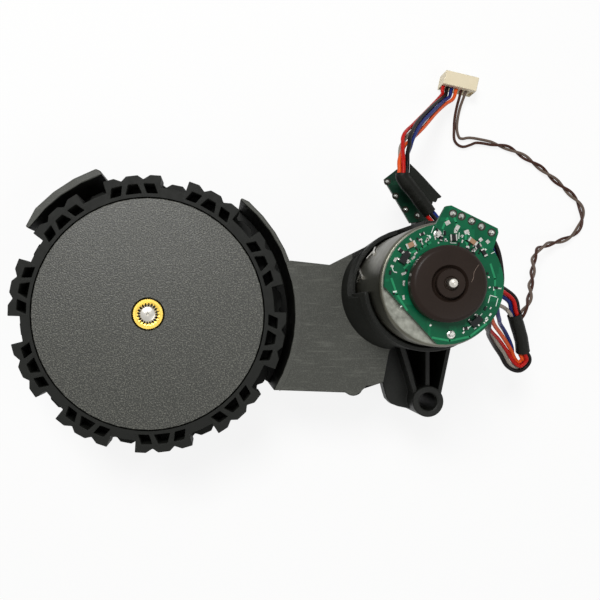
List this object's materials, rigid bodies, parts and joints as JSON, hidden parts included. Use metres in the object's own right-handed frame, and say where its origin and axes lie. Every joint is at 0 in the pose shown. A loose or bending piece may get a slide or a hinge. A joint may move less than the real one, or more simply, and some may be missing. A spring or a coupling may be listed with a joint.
{
  "type": "robot vacuum drive wheel module",
  "caption": "Treaded drive wheel on a flat gearbox with an upright motor, an encoder board, a pivot boss and a wire harness.",
  "frame": {"origin": "on the wheel's axis, in the plane of the gearbox cover's flat back face", "axes": "+Z along the wheel's axis towards its outer face, +X from the wheel towards the motor"},
  "size_m": [0.1635, 0.1069, 0.0646],
  "materials": {
    "case": "black moulded plastic",
    "wheel_plastic": "textured dark grey plastic",
    "tread": "black tread rubber",
    "gears": "off-white acetal",
    "steel": "plated steel",
    "brass": "turned brass",
    "copper": "wound copper and copper segments",
    "ferrite": "pressed ferrite magnet",
    "board": "green circuit board",
    "chip": "black moulded package",
    "connector": "cream nylon",
    "sleeve": "shrunk sleeve and tape",
    "wire_red": "insulated wires",
    "wire_brown": "twisted thin wires"
  },
  "bodies": {
    "gearbox": {"gear_case": "case", "back_cover": "case", "motor_end_bell": "wheel_plastic", "axle_bearing": "steel", "motor_can": "steel", "gear_pin_1": "steel", "gear_pin_2": "steel", "motor_screw_1": "steel", "motor_screw_2": "steel", "motor_terminal_1": "steel", "motor_terminal_2": "steel", "cover_screw_1": "steel", "cover_screw_2": "steel", "cover_screw_3": "steel", "cover_screw_4": "steel", "cover_screw_5": "steel", "cover_screw_6": "steel", "axle_bush": "brass", "motor_magnet_1": "ferrite", "motor_magnet_2": "ferrite", "encoder_board": "board", "switch_board": "board", "hall_sensor_1": "chip", "hall_sensor_2": "chip", "drop_switch": "chip", "connector": "connector", "sleeve_left": "sleeve", "sleeve_right": "sleeve", "tape_flag": "sleeve", "harness": "wire_red", "harness_crossing": "wire_red", "harness_return": "wire_red", "twisted_pair": "wire_brown"},
    "wheel": {"tyre": "tread", "wheel_hub": "wheel_plastic", "hub_insert": "brass", "axle": "steel", "output_gear": "gears"},
    "gear_1": {"compound_gear_1": "gears"},
    "gear_2": {"compound_gear_2": "gears"},
    "rotor": {"motor_shaft": "steel", "armature": "copper", "commutator": "copper", "pinion": "brass", "magnet_disc": "ferrite"}
  },
  "joints": [
    {"name": "rotor_spin", "type": "hinge", "parent": "gearbox", "child": "rotor", "pos_m": [0.0668, 0.0065, 0.01], "axis": [0, 0, 1], "continuous": true},
    {"name": "gear_1_spin", "type": "hinge", "parent": "gearbox", "child": "gear_1", "pos_m": [0.05323, -0.00099, 0.01], "axis": [0, 0, 1], "continuous": true},
    {"name": "gear_2_spin", "type": "hinge", "parent": "gearbox", "child": "gear_2", "pos_m": [0.03481, -0.0036, 0.01], "axis": [0, 0, 1], "continuous": true},
    {"name": "wheel_spin", "type": "hinge", "parent": "gearbox", "child": "wheel", "pos_m": [0, 0, 0.01], "axis": [0, 0, 1], "continuous": true}
  ],
  "couplings": [
    {"joint": "gear_1_spin", "follows": "rotor_spin", "ratio": -0.19231},
    {"joint": "gear_2_spin", "follows": "rotor_spin", "ratio": 0.078671},
    {"joint": "wheel_spin", "follows": "rotor_spin", "ratio": -0.019668}
  ]
}
